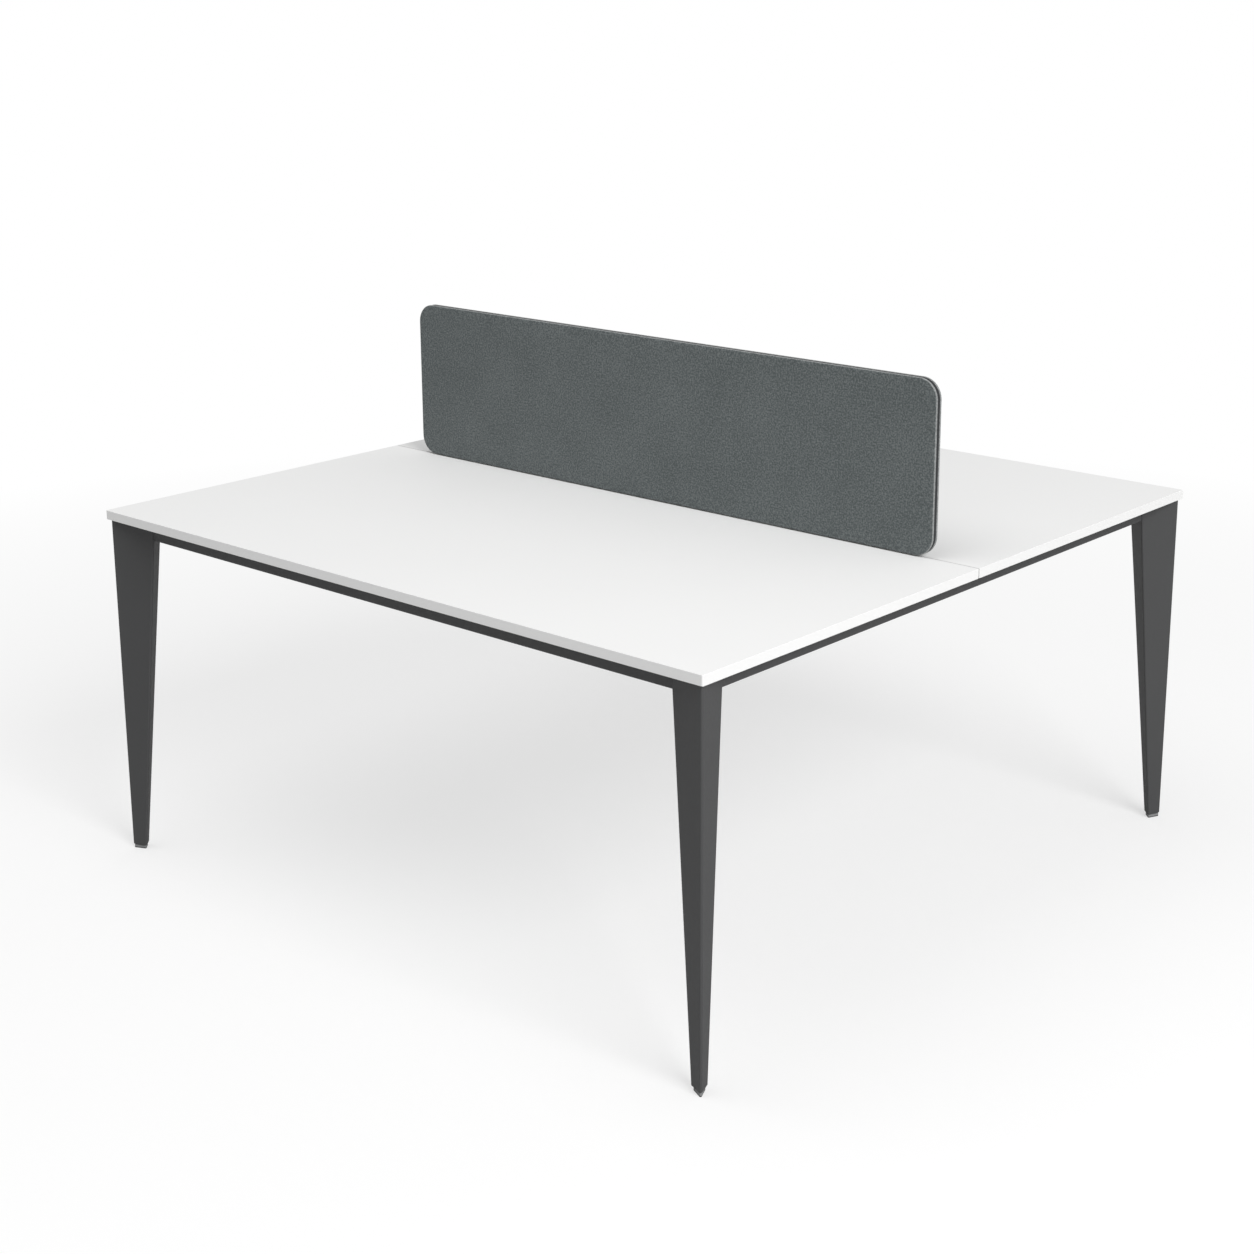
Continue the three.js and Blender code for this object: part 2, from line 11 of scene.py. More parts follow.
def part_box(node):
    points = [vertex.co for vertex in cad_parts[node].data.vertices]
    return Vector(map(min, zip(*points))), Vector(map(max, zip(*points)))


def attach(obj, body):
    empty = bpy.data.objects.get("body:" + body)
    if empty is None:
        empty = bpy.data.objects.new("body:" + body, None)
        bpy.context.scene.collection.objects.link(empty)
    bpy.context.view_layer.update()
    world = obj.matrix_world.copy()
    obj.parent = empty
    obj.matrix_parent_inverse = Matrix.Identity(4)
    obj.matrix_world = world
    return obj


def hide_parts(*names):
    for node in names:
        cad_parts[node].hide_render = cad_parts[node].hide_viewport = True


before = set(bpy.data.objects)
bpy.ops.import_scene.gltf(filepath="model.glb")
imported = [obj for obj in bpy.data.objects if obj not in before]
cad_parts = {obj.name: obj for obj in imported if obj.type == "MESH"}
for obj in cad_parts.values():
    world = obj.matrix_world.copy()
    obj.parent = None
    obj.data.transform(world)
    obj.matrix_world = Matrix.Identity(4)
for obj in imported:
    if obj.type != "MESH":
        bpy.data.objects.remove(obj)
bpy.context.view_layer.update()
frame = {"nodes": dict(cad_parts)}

bl_info = {
    "name": "Benching Desk",
    "version": (1, 0, 0),
    "blender": (4, 5, 0),
    "location": "View3D > Sidebar > Desk",
    "description": "Builds the visible pieces of a benching desk around its packed frame",
    "category": "Object",
}

MM = 0.001
QUARTER_TURN = math.pi / 2
HALF_DIAGONAL = math.sqrt(0.5)
SHARP_EDGE = math.radians(35)
SHARP_THREAD = math.radians(50)
WHITE = (1.0, 1.0, 1.0, 1.0)
ROOT_BODY = "desk"
CORNERS = ("front_left", "front_right", "rear_right", "rear_left")
INWARD = {
    "front": Vector((0, 1, 0)),
    "right": Vector((-1, 0, 0)),
    "rear": Vector((0, -1, 0)),
    "left": Vector((1, 0, 0)),
}
TOP_LOW, TOP_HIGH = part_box("front_worktop_edge_band")
REAR_LOW, REAR_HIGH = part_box("rear_worktop_edge_band")
LEG_LOW, LEG_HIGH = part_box("front_left_leg")
PAD_LOW, PAD_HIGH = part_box("screen_front_pad")
TRIM_LOW, TRIM_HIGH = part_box("screen_edge_trim")
FOOT_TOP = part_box("front_left_foot_pad")[1].z
STEM_LOW, STEM_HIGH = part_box("front_left_foot_stem")
STRAP_LOW, STRAP_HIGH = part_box("screen_strap_1")
RAIL_LOW, RAIL_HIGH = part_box("right_rail")
PLATE_LOW, PLATE_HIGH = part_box("front_left_leg_head_plate")
BLOCK_LOW, BLOCK_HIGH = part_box("front_left_leg_end_block")
STEM_RADIUS = (STEM_HIGH.x - STEM_LOW.x) / 2


def length(name, description, default):
    """A size in metres for the sidebar."""
    return FloatProperty(name=name, description=description, default=default, unit="LENGTH", precision=4)


def angle(name, description, degrees):
    """An angle for the sidebar."""
    return FloatProperty(name=name, description=description, default=math.radians(degrees), subtype="ANGLE")


def power(name, description, default):
    """The power of a light for the sidebar."""
    return FloatProperty(name=name, description=description, default=default, subtype="POWER")


def colour(name, description, default):
    """A colour for the sidebar."""
    return FloatVectorProperty(
        name=name, description=description, default=default, size=3, subtype="COLOR", min=0, max=1
    )


class WorktopSettings(bpy.types.PropertyGroup):
    """Sizes and colours of the two worktops."""

    corner_radius: length("Corner radius", "Rounding of the corners in plan", 3 * MM)
    edge_radius: length("Edge radius", "Rounding of the long edges", 1 * MM)
    band: length("Edge band", "Thickness of the edge band", 2 * MM)
    face_colour: colour("Face", "Colour of the laminate", (0.885, 0.885, 0.881))
    line_colour: colour("Glue line", "Colour of the joint of face and band", (0.60, 0.60, 0.585))
    # painted shade: the colour that darkens the seam, standing in for the shadow in the gap between the two
    # worktops
    painted_seam_shade: colour("Seam", "Colour of the facing edges in the seam", (0.30, 0.30, 0.297))
    seam_line: length("Seam line", "How far the seam's shade reaches from the edge", 1.5 * MM)


class FrameSettings(bpy.types.PropertyGroup):
    """Sizes and colours of the legs, the tube frame and the fasteners."""

    overhang: length("Overhang", "Worktop edge to the upright edge of the leg", 4 * MM)
    apex: angle("Apex", "Angle between the two outer faces of a leg", 48)
    top_side: length("Top side", "Width of a leg's outer faces under the worktop", 108 * MM)
    foot_side: length("Foot side", "Width of a leg's outer faces at the foot", 38.5 * MM)
    rail_height: length("Rail height", "Height of the rails", 38 * MM)
    wall: length("Sheet", "Thickness of the folded sheet", 2.5 * MM)
    bend: length("Bend radius", "Outside radius of the folds", 3.5 * MM)
    paint: colour("Paint", "Colour of the powder coat", (0.050, 0.0505, 0.0515))
    zinc: colour("Zinc", "Colour of the plated pieces", (0.46, 0.475, 0.49))


class FootSettings(bpy.types.PropertyGroup):
    """Sizes and colours of the levelling feet."""

    apex: angle("Apex", "Angle between the two long sides of the pad", 40)
    side: length("Pad side", "Length of the long sides of the three-sided pad", 32.0 * MM)
    corner: length("Pad corner", "Rounding of the pad's corners", 2.2 * MM)
    pitch: length("Thread pitch", "Rise of the stem's thread in one turn", 1.25 * MM)
    thread: length("Thread depth", "Depth of the stem's thread", 0.6 * MM)
    rim_low: length("Rim low", "Height at which the pad's paler rim starts", 2.2 * MM)
    rim_high: length("Rim high", "Height at which the pad's paler rim ends", 7.2 * MM)
    plastic: colour("Pad", "Colour of the moulded foot pad", (0.040, 0.0405, 0.042))
    rim: colour("Rim", "Colour of the pad's paler rim", (0.245, 0.247, 0.252))


class ScreenSettings(bpy.types.PropertyGroup):
    """Sizes and colours of the fabric screen."""

    corner_radius: length("Corner radius", "Rounding of the screen's corners", 40 * MM)
    edge: length("Cover edge", "Radius of the cover where it turns to its edge", 2.6 * MM)
    crown: length("Crown", "How far the padding stands out in the middle", 0.9 * MM)
    ripple: length("Ripple", "Depth of the soft unevenness of the padding", 0.22 * MM)
    wrap: length("Wrap", "Width of the cover's edge, from its face to the strip", 6.2 * MM)
    strip_depth: length("Strip depth", "How far the strip lies below the covers' edges", 1.1 * MM)
    yarn: length("Yarn", "Spacing of the woven yarns", 1.3 * MM)
    fabric: colour("Fabric", "Main colour of the cover", (0.079, 0.092, 0.093))
    fabric_light: colour("Light yarn", "Colour of the lighter yarns", (0.170, 0.188, 0.190))
    # painted highlight: the cover's edge is woven paler than its face, standing in for the light caught on the
    # rounded edge
    painted_edge_highlight: colour("Edging", "Main colour of the cover's edge", (0.215, 0.222, 0.222))
    painted_highlight_yarn: colour("Light edging yarn", "Lighter yarns of the cover's edge", (0.340, 0.350, 0.350))
    strip: colour("Edge strip", "Colour of the strip between the covers", (0.022, 0.024, 0.026))
    turns: IntProperty(name="Arc steps", description="Steps along a rounded corner", default=14, min=4)


class StageSettings(bpy.types.PropertyGroup):
    """Camera, floor and light."""

    camera_place: FloatVectorProperty(
        name="Camera", description="Place of the camera", size=3, subtype="TRANSLATION", unit="LENGTH",
        default=(2.8110, -3.2078, 1.8253),
    )
    camera_turn: angle("Turn", "Heading of the camera, from the rear to the left", 40.607)
    camera_dip: angle("Dip", "How far the camera looks down", 14.26)
    lens: FloatProperty(name="Lens", description="Focal length", subtype="DISTANCE_CAMERA", default=60.26)
    shift: FloatVectorProperty(
        name="Shift", description="Lens shift across and up, in image widths", size=2,
        default=(-0.0399, -0.0997),
    )
    floor_colour: colour("Floor", "Colour of the floor as the camera sees it", (0.97, 0.97, 0.97))
    bounce_colour: colour("Bounce", "Colour of the light that the floor gives back", (0.55, 0.55, 0.55))
    floor_near: length("Floor near", "Reach of the floor that shows the desk's shadow in full", 1.5)
    floor_fade: length("Floor fade", "Length over which the floor turns to the white background", 2.4)
    key_power: power("Key", "Power of the key light", 690.0)
    fill_power: power("Fill", "Power of the fill light", 90.0)
    room_light: FloatProperty(name="Room light", description="Strength of the even light", default=0.42)


class DeskSettings(bpy.types.PropertyGroup):
    """All settings of the desk."""

    worktop: PointerProperty(type=WorktopSettings)
    frame: PointerProperty(type=FrameSettings)
    foot: PointerProperty(type=FootSettings)
    screen: PointerProperty(type=ScreenSettings)
    stage: PointerProperty(type=StageSettings)


class Value:
    """A number on a shader socket that takes part in Python expressions."""

    def __init__(self, finish, socket):
        self.finish = finish
        self.socket = socket

    def math(self, operation, *others):
        inputs = dict(enumerate((self, *others)))
        return self.finish.add("ShaderNodeMath", {"operation": operation}, inputs)

    def __add__(self, other):
        return self.math("ADD", other)

    __radd__ = __add__

    def __mul__(self, other):
        return self.math("MULTIPLY", other)

    __rmul__ = __mul__

    def __sub__(self, other):
        return self.math("SUBTRACT", other)

    def __rsub__(self, other):
        return (self * -1.0) + other

    def __truediv__(self, other):
        return self.math("DIVIDE", other)

    def __abs__(self):
        return self.math("ABSOLUTE")

    def sine(self):
        return self.math("SINE")

    def least(self, other):
        return self.math("MINIMUM", other)

    def most(self, other):
        return self.math("MAXIMUM", other)

    def clamped(self):
        return self.most(0.0).least(1.0)


class Finish:
    """The nodes of one procedural material or of the world."""

    def __init__(self, owner):
        self.owner = owner
        owner.use_nodes = True
        self.tree = owner.node_tree
        self.tree.nodes.clear()

    @classmethod
    def material(cls, name):
        return cls(bpy.data.materials.new(name))

    def add(self, kind, settings=None, inputs=None, output=0):
        """Adds a node: its settings first, then the values or links of its sockets."""
        node = self.tree.nodes.new(kind)
        for key, value in (settings or {}).items():
            setattr(node, key, value)
        for key, value in (inputs or {}).items():
            socket = node.inputs[key] if isinstance(key, int) else self.find(node.inputs, key)
            if isinstance(value, Value):
                self.tree.links.new(value.socket, socket)
            else:
                socket.default_value = value
        found = node.outputs[output] if isinstance(output, int) else self.find(node.outputs, output)
        return Value(self, found)

    @staticmethod
    def find(sockets, key):
        return next(s for s in sockets if key in (s.identifier, s.name))

    def place(self):
        """Object coordinates, which are the desk's own, in metres."""
        return self.add("ShaderNodeTexCoord", output="Object")

    def axes(self):
        """The three object coordinates as numbers."""
        kind = "ShaderNodeSeparateXYZ"
        spot = self.place()
        return [self.add(kind, None, {0: spot}, i) for i in range(3)]

    def grain(self, scale, detail=2.0, stretch=(1.0, 1.0, 1.0)):
        """Noise from 0 to 1, its scale in features per metre along each axis."""
        scaled = self.add("ShaderNodeMapping", None, {"Vector": self.place(), "Scale": stretch})
        inputs = {"Vector": scaled, "Scale": scale, "Detail": detail}
        return self.add("ShaderNodeTexNoise", None, inputs, "Fac")

    def blend(self, share, a, b):
        """A colour between a and b."""
        ends = [c if isinstance(c, Value) else (*c, 1.0) for c in (a, b)]
        inputs = {"Factor_Float": share, "A_Color": ends[0], "B_Color": ends[1]}
        return self.add("ShaderNodeMix", {"data_type": "RGBA"}, inputs, "Result_Color")

    def bump(self, height, distance, strength):
        """A normal from a height that runs from 0 to 1 over a distance."""
        inputs = {"Height": height, "Distance": distance, "Strength": strength}
        return self.add("ShaderNodeBump", None, inputs, "Normal")

    def surface(self, base, roughness, normal=None, **constants):
        """Closes the tree with a Principled shader; constants go straight on its sockets."""
        inputs = {"Base Color": base, "Roughness": roughness}
        if normal is not None:
            inputs["Normal"] = normal
        inputs.update({key.replace("_", " "): value for key, value in constants.items()})
        shader = self.add("ShaderNodeBsdfPrincipled", None, inputs, "BSDF")
        self.add_output(shader)
        return self.owner

    def add_output(self, shader, kind="ShaderNodeOutputMaterial"):
        node = self.tree.nodes.new(kind)
        self.tree.links.new(shader.socket, node.inputs["Surface"])


def shade(tint, factor):
    """A colour made darker or lighter."""
    return tuple(min(1.0, c * factor) for c in tint)


def laminate(name, settings, low, high, seam_y):
    """White laminate with a fine pearl, the glue line of the edge band and a painted shade along the seam,
    where the gap's shadow falls.
    """
    f = Finish.material(name)
    x, y, z = f.axes()
    to_end = (high.x - abs(x)).least(y - low.y).least(high.y - y)
    line_half = 0.22 * MM
    face_depth = 0.2 * MM
    line = (1.0 - abs(to_end - settings.band) / line_half).clamped()
    on_face = (z - (high.z - face_depth)) / (0.5 * face_depth)
    mark = line * on_face.clamped() * 0.5
    cloud = f.grain(3.0, 3.0)
    fine = f.grain(900.0, 2.0)
    face = f.blend(cloud * 0.6 + fine * 0.4, shade(settings.face_colour, 0.975), settings.face_colour)
    tint = f.blend(mark, face, settings.line_colour)
    seam_soft = 0.5 * MM
    # painted shade: darker within a short reach of the seam, on the tops and on the facing edges, where the
    # gap's shadow falls
    seam_shade_mask = ((settings.seam_line - abs(y - seam_y)) / seam_soft).clamped()
    tint = f.blend(seam_shade_mask * 0.45, tint, settings.painted_seam_shade)
    rough = 0.52 + fine * 0.10 + cloud * 0.05
    return f.surface(tint, rough, f.bump(fine, 0.03 * MM, 0.35), Specular_IOR_Level=0.12)


def powder_coat(name, tint):
    """Anthracite powder coat: fine orange peel, uneven gloss and slightly paler folds."""
    f = Finish.material(name)
    peel = f.grain(850.0, 2.0)
    coarse = f.grain(180.0, 3.0)
    cloud = f.grain(5.0, 3.0)
    bent = f.add("ShaderNodeNewGeometry", output="Pointiness")
    fold = ((bent - 0.5) * 6.0).clamped()
    base = f.blend(cloud * 0.55 + peel * 0.45, shade(tint, 0.86), shade(tint, 1.14))
    base = f.blend(fold * 0.5, base, shade(tint, 1.9))
    rough = 0.44 + coarse * 0.10 + peel * 0.08
    normal = f.bump(peel * 0.7 + coarse * 0.3, 0.06 * MM, 0.55)
    return f.surface(base, rough, normal, Specular_IOR_Level=0.5)


def zinc_plate(name, tint):
    """Plated steel with a soft spangle and fine scratches."""
    f = Finish.material(name)
    cells = f.add("ShaderNodeTexVoronoi", None, {"Vector": f.place(), "Scale": 260.0}, "Color")
    spangle = f.add("ShaderNodeSeparateColor", None, {0: cells}, 0)
    scratch = f.grain(60.0, 4.0, (30.0, 1.0, 1.0))
    base = f.blend(spangle * 0.6 + scratch * 0.4, shade(tint, 0.82), shade(tint, 1.18))
    rough = 0.30 + spangle * 0.12 + scratch * 0.12
    return f.surface(base, rough, f.bump(scratch, 0.02 * MM, 0.4), Metallic=0.9)


def moulded_plastic(name, settings):
    """Matt moulded plastic with a spark-eroded grain, scuffs and a paler rim."""
    f = Finish.material(name)
    spark = f.grain(1400.0, 2.0)
    scuff = f.grain(220.0, 4.0)
    _, _, z = f.axes()
    soft = 0.3 * MM
    above = ((z - settings.rim_low) / soft).clamped()
    below = ((settings.rim_high - z) / soft).clamped()
    tint = f.blend(above * below, settings.plastic, settings.rim)
    rim_share = 0.75
    worn = [p + (r - p) * rim_share for p, r in zip(settings.plastic, settings.rim)]
    base = f.blend(scuff * 0.25, tint, worn)
    rough = 0.52 + scuff * 0.16
    return f.surface(base, rough, f.bump(spark, 0.05 * MM, 0.6))


def woven_fabric(name, settings, dark, light):
    """Melange weave: crossing yarns of two greys, slubs along both yarns, and a soft nap."""
    f = Finish.material(name)
    x, _, z = f.axes()
    turns = math.tau / settings.yarn
    warp = (x * turns).sine()
    weft = (z * turns).sine()
    weave = warp * weft * 0.5 + 0.5
    slub_across = f.grain(1.0, 3.0, (70.0, 200.0, 620.0))
    slub_up = f.grain(1.0, 3.0, (620.0, 200.0, 70.0))
    fleck = f.grain(290.0, 4.0)
    cloud = f.grain(9.0, 3.0)
    yarn = slub_across * weave + slub_up * (1.0 - weave)
    share = (yarn - 0.5) * 2.1 + (fleck - 0.5) * 3.9 + (cloud - 0.5) * 0.5 + weave * 0.16 + 0.30
    base = f.blend(share.clamped(), dark, light)
    height = weave * 0.55 + yarn * 0.45
    rough = 0.86 + fleck * 0.12
    normal = f.bump(height, 0.25 * MM, 0.8)
    return f.surface(base, rough, normal, Sheen_Weight=0.12, Sheen_Roughness=0.5, Specular_IOR_Level=0.2)


def edge_tape(name, tint):
    """Dark ribbed tape between the two covers."""
    f = Finish.material(name)
    _, y, _ = f.axes()
    rib_spacing = 1.5 * MM
    rib = (y * (math.tau / rib_spacing)).sine() * 0.5 + 0.5
    fleck = f.grain(800.0, 3.0)
    base = f.blend(rib * 0.5 + fleck * 0.5, shade(tint, 0.7), shade(tint, 1.5))
    return f.surface(base, 0.70 + fleck * 0.2, f.bump(rib * 0.6 + fleck * 0.4, 0.12 * MM, 0.7))


def raw_board(name):
    """Raw fibre board: pressed fibres in pale brown."""
    f = Finish.material(name)
    fibre = f.grain(500.0, 5.0)
    cloud = f.grain(30.0, 3.0)
    dark_fibre = (0.32, 0.22, 0.13)
    pale_fibre = (0.52, 0.38, 0.24)
    base = f.blend(fibre * 0.7 + cloud * 0.3, dark_fibre, pale_fibre)
    return f.surface(base, 0.85 + fibre * 0.1, f.bump(fibre, 0.1 * MM, 0.6))


def settings_of(context):
    """The desk's settings in this scene."""
    return context.scene.benching_desk


def new_piece(name, vertices, faces, material, smooth=True):
    """A mesh object from its points and faces, with one finish."""
    mesh = bpy.data.meshes.new(name)
    mesh.from_pydata(vertices, [], faces)
    mesh.validate()
    mesh.materials.append(material)
    mesh.polygons.foreach_set("use_smooth", [smooth] * len(mesh.polygons))
    piece = bpy.data.objects.new(name, mesh)
    bpy.context.scene.collection.objects.link(piece)
    return piece


def even_normals(piece):
    """Keeps wide faces flat beside their rounded edges."""
    even = piece.modifiers.new("even_normals", "WEIGHTED_NORMAL")
    even.keep_sharp = True
    even.weight = 60


def ring_faces(count, first, second):
    """Quads between two rings of the same count, given their first vertices."""
    return [
        (first + i, first + (i + 1) % count, second + (i + 1) % count, second + i) for i in range(count)
    ]


def loft(rings, capped=True):
    """Points and faces of a skin through rings, from the lowest to the highest."""
    count = len(rings[0])
    points = [p for ring in rings for p in ring]
    faces = []
    for level in range(len(rings) - 1):
        faces += ring_faces(count, level * count, (level + 1) * count)
    if capped:
        faces.append(tuple(reversed(range(count))))
        top = (len(rings) - 1) * count
        faces.append(tuple(range(top, top + count)))
    return points, faces


def closed_loft(rings):
    """Points and faces of a skin through rings that runs back to the first ring."""
    count = len(rings[0])
    points, faces = loft(rings, capped=False)
    faces += ring_faces(count, (len(rings) - 1) * count, 0)
    return points, faces


def arc(centre_x, centre_y, radius, start, sweep, steps):
    """Points along an arc, both ends included."""
    angles = [start + sweep * i / steps for i in range(steps + 1)]
    return [(centre_x + radius * math.cos(a), centre_y + radius * math.sin(a)) for a in angles]


def quarter_angles(steps):
    """Angles over a quarter turn, both ends included."""
    return [QUARTER_TURN * i / steps for i in range(steps + 1)]


def circle(radius, z, angles, middle=0.0):
    """A ring of points at a height, about a middle that is the same on X and Y."""
    return [(middle + radius * math.cos(a), middle + radius * math.sin(a), z) for a in angles]


def rounded_rectangle(width, height, radius, steps, cuts=(0, 0)):
    """A closed outline about the origin, its long and short sides cut into short lengths."""
    x = width / 2 - radius
    y = height / 2 - radius
    places = ((x, -y), (x, y), (-x, y), (-x, -y))
    outline = []
    for turn, (px, py) in enumerate(places):
        corner = arc(px, py, radius, (turn - 1) * QUARTER_TURN, QUARTER_TURN, steps)
        if outline:
            outline += between(outline[-1], corner[0], cuts[turn % 2])
        outline += corner
    outline += between(outline[-1], outline[0], cuts[0])
    return outline


def between(a, b, cuts):
    """Points that cut the straight line from a to b."""
    shares = [(i + 1) / (cuts + 1) for i in range(cuts)]
    return [(a[0] + (b[0] - a[0]) * s, a[1] + (b[1] - a[1]) * s) for s in shares]


def dress(node, material):
    """Gives a carried-over solid its finish."""
    slots = frame["nodes"][node].data.materials
    slots.clear()
    slots.append(material)


class DESK_OT_worktops(bpy.types.Operator):
    """Builds both worktops with eased edges and the notches for the screen's straps"""

    bl_idname = "desk.worktops"
    bl_label = "Worktops"

    EASE_STEPS = 3
    CORNER_STEPS = 8
    STRAP_CLEARANCE = 0.3 * MM
    LEVEL_WITHIN = 1e-6

    def execute(self, context):
        settings = settings_of(context).worktop
        for name, low, high, seam in (
            ("front", TOP_LOW, TOP_HIGH, 1),
            ("rear", REAR_LOW, REAR_HIGH, -1),
        ):
            outline = self.outline(settings, low, high, seam)
            rings = [[(x, y, z) for x, y in outline] for z in (low.z, high.z)]
            seam_y = high.y if seam > 0 else low.y
            finish = laminate(f"{name}_laminate", settings, low, high, seam_y)
            slab = new_piece(f"{name}_worktop_slab", *loft(rings), finish)
            self.ease(slab, settings.edge_radius)
            even_normals(slab)
            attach(slab, ROOT_BODY)
            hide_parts(f"{name}_worktop", f"{name}_worktop_edge_band")
        return {"FINISHED"}

    def outline(self, settings, low, high, seam):
        """The worktop's edge in plan, notched on its seam side."""
        middle_y = (low.y + high.y) / 2
        width = high.x - low.x
        depth = high.y - low.y
        points = rounded_rectangle(width, depth, settings.corner_radius, self.CORNER_STEPS)
        half = (STRAP_HIGH.x - STRAP_LOW.x) / 2 + self.STRAP_CLEARANCE
        inward = STRAP_HIGH.y + self.STRAP_CLEARANCE
        strap_x = abs(STRAP_LOW.x + STRAP_HIGH.x) / 2
        edge_y = depth / 2
        notch_y = edge_y - (inward - min(abs(low.y), abs(high.y)))
        notches = []
        for centre in (strap_x, -strap_x):
            near = centre + half
            far = centre - half
            notches += [(near, edge_y), (near, notch_y), (far, notch_y), (far, edge_y)]
        half_way = len(points) // 4 * 2
        points = points[:half_way] + notches + points[half_way:]
        return [(x * seam, y * seam + middle_y) for x, y in points]

    def ease(self, slab, radius):
        """Rounds the edges that run round the top and underside."""
        shape = bmesh.new()
        shape.from_mesh(slab.data)
        shape.edges.ensure_lookup_table()
        flat = [e for e in shape.edges if abs(e.verts[0].co.z - e.verts[1].co.z) < self.LEVEL_WITHIN]
        bmesh.ops.bevel(
            shape, geom=flat, offset=radius, segments=self.EASE_STEPS, profile=0.5, affect="EDGES",
            clamp_overlap=True,
        )
        bmesh.ops.recalc_face_normals(shape, faces=shape.faces)
        for face in shape.faces:
            face.smooth = True
        shape.to_mesh(slab.data)
        shape.free()


def wedge_reach(side, apex):
    """From the middle of a three-sided section to its apex and to its sides."""
    depth = side * math.cos(apex / 2)
    width = 2 * side * math.sin(apex / 2)
    to_sides = width * depth / (width + 2 * side)
    return depth - to_sides, to_sides


def wedge(side, apex, offset=0.0):
    """Corners of a three-sided section about its middle, its apex facing the front left."""
    to_apex, to_sides = wedge_reach(side, apex)
    half_width = side * math.sin(apex / 2)
    grow = (1 + offset / to_sides) * HALF_DIAGONAL
    corners = []
    for along, across in ((-to_apex, 0), (to_sides, -half_width), (to_sides, half_width)):
        corners.append(((along - across) * grow, (along + across) * grow))
    return corners


def rounded_corners(corners, radius, steps, cuts=0):
    """An outline through corners that run counter-clockwise, each rounded, its sides cut into lengths."""
    outline = []
    for i, corner in enumerate(corners):
        here = Vector(corner)
        back = (Vector(corners[i - 1]) - here).normalized()
        ahead = (Vector(corners[(i + 1) % len(corners)]) - here).normalized()
        half = back.angle(ahead) / 2
        centre = here + (back + ahead).normalized() * (radius / math.sin(half))
        start = math.atan2(back.x, -back.y)
        bend = arc(centre.x, centre.y, radius, start, math.pi - 2 * half, steps)
        if outline:
            outline += between(outline[-1], bend[0], cuts)
        outline += bend
    outline += between(outline[-1], outline[0], cuts)
    return outline


def corner_matrix(settings, turn):
    """Places a leg's own axes at one of the desk's corners, counted from the front left."""
    signs = ((-1, -1), (1, -1), (1, 1), (-1, 1))[turn]
    half_x = TOP_HIGH.x - settings.overhang
    half_y = REAR_HIGH.y - settings.overhang
    place = Matrix.Translation((signs[0] * half_x, signs[1] * half_y, 0))
    return place @ Matrix.Rotation(turn * QUARTER_TURN, 4, "Z")


def foot_middle(settings):
    """The middle of a leg's foot, along each of the leg's own axes."""
    return wedge_reach(settings.foot_side, settings.apex)[0] * HALF_DIAGONAL


class DESK_OT_legs(bpy.types.Operator):
    """Builds the four folded legs with their head plates and end blocks"""

    bl_idname = "desk.legs"
    bl_label = "Folded legs"

    BEND_STEPS = 9
    LIP = 0.4 * MM
    SEAT = 0.3 * MM
    TIGHTEST_BEND = 0.4 * MM
    SIDE_CUTS = 16
    PLATE_HOLE = 8.0 * MM

    def execute(self, context):
        settings = settings_of(context).frame
        self.settings = settings
        paint = powder_coat("leg_paint", settings.paint)
        zinc = zinc_plate("block_zinc", settings.zinc)
        bore = STEM_RADIUS + self.SEAT
        top_middle = wedge_reach(settings.top_side, settings.apex)[0] * HALF_DIAGONAL
        plate = self.plug(PLATE_LOW.z, PLATE_HIGH.z, top_middle, self.PLATE_HOLE)
        block = self.plug(BLOCK_LOW.z, BLOCK_HIGH.z, foot_middle(settings), bore)
        shapes = (
            ("folded_leg", "leg", self.sheet(), paint, "painted_steel"),
            ("head", "leg_head_plate", plate, paint, "painted_steel"),
            ("foot_block", "leg_end_block", block, zinc, "zinc_steel"),
        )
        for turn, corner in enumerate(CORNERS):
            for name, node, shape, finish, slot in shapes:
                piece = new_piece(f"{corner}_{name}", *shape, finish)
                piece.data.transform(corner_matrix(settings, turn))
                if node == "leg":
                    even_normals(piece)
                else:
                    piece.data.set_sharp_from_angle(angle=SHARP_EDGE)
                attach(piece, ROOT_BODY)
                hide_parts(f"{corner}_{node}")
        return {"FINISHED"}

    def sheet(self):
        """The folded sheet, outside and inside, with eased rims."""
        low = LEG_LOW.z
        high = LEG_HIGH.z
        lip = self.LIP
        inside = -self.settings.wall
        levels = ((low, -lip), (low + lip, 0.0), (high - lip, 0.0), (high, -lip))
        levels += ((high, inside + lip), (high - lip, inside), (low + lip, inside), (low, inside + lip))
        return closed_loft([self.ring(z, offset) for z, offset in levels])

    def ring(self, z, offset, cuts=0):
        """The three-sided section at a height, grown outward by an offset."""
        settings = self.settings
        share = (z - LEG_LOW.z) / (LEG_HIGH.z - LEG_LOW.z)
        side = settings.foot_side + (settings.top_side - settings.foot_side) * share
        middle = wedge_reach(side, settings.apex)[0] * HALF_DIAGONAL
        radius = max(settings.bend + offset, self.TIGHTEST_BEND)
        ring = rounded_corners(wedge(side, settings.apex, offset), radius, self.BEND_STEPS, cuts)
        return [(x + middle, y + middle, z) for x, y in ring]

    def plug(self, low, high, middle, hole):
        """A plate that fits inside the leg between two heights, with a round hole."""
        outer = [self.ring(z, -self.settings.wall - self.SEAT, self.SIDE_CUTS) for z in (low, high)]
        angles = [math.atan2(y - middle, x - middle) for x, y, _ in outer[0]]
        inner = [circle(hole, z, angles, middle) for z in (high, low)]
        return closed_loft(outer + inner)


def rail_shift(settings):
    """How far the rails move in, so that they lie flush with the inner folds of the legs."""
    fold = settings.top_side * math.sin(math.pi / 4 - settings.apex / 2)
    return settings.overhang + fold - (TOP_HIGH.x - RAIL_HIGH.x)


def rail_drop(settings):
    """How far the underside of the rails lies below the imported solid."""
    return settings.rail_height - (RAIL_HIGH.z - RAIL_LOW.z)


